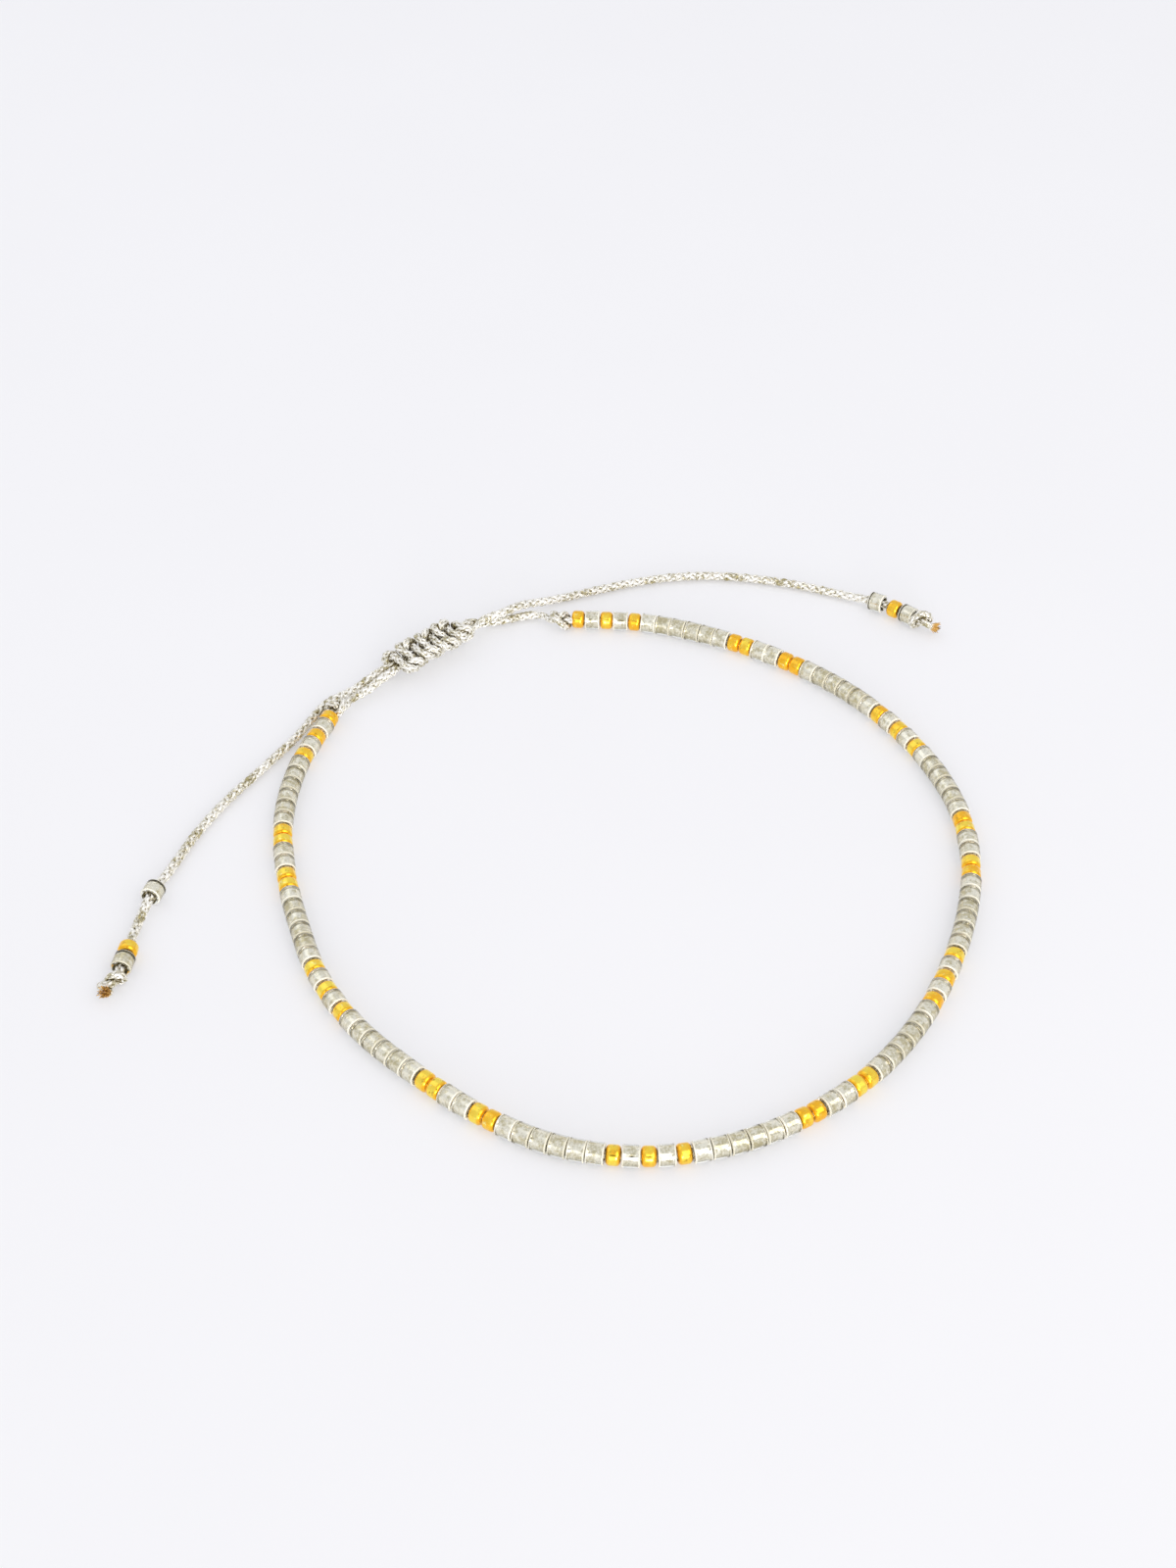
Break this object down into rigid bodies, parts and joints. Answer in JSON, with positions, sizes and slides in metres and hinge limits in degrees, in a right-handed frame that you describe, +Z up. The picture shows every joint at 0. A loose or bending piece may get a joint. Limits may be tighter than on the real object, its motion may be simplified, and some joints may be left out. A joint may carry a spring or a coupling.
{
  "type": "beaded bracelet",
  "caption": "Adjustable bracelet of silver and gold seed beads on metallic cord, closed by a sliding knot, with cord tails that end in loose beads and knots.",
  "frame": {"origin": "on the surface that the bracelet lies on, under the middle of the ring's box without the two tails", "axes": "+Z up off the surface; +Y from the front of the ring towards the closure at its back; +X to the right of the ring as seen from the front"},
  "size_m": [0.0661, 0.066, 0.0025],
  "materials": {
    "silver_bead": "metallised glass, satin",
    "gold_bead": "metallised glass, glossy",
    "cord": "braided metallic thread"
  },
  "bodies": {
    "root": {"bead_string_left": "silver_bead", "bead_string_right": "silver_bead", "end_knot_left": "cord", "end_knot_right": "cord", "closure_cord_left": "cord", "closure_cord_right": "cord", "sliding_knot": "cord", "tail_cord_left": "cord", "tail_cord_right": "cord", "tail_bead_left_1": "silver_bead", "tail_bead_left_2": "gold_bead", "tail_bead_left_3": "silver_bead", "tail_bead_right_1": "silver_bead", "tail_bead_right_2": "gold_bead", "tail_bead_right_3": "silver_bead", "tail_knot_left": "cord", "tail_knot_right": "cord"}
  },
  "joints": []
}
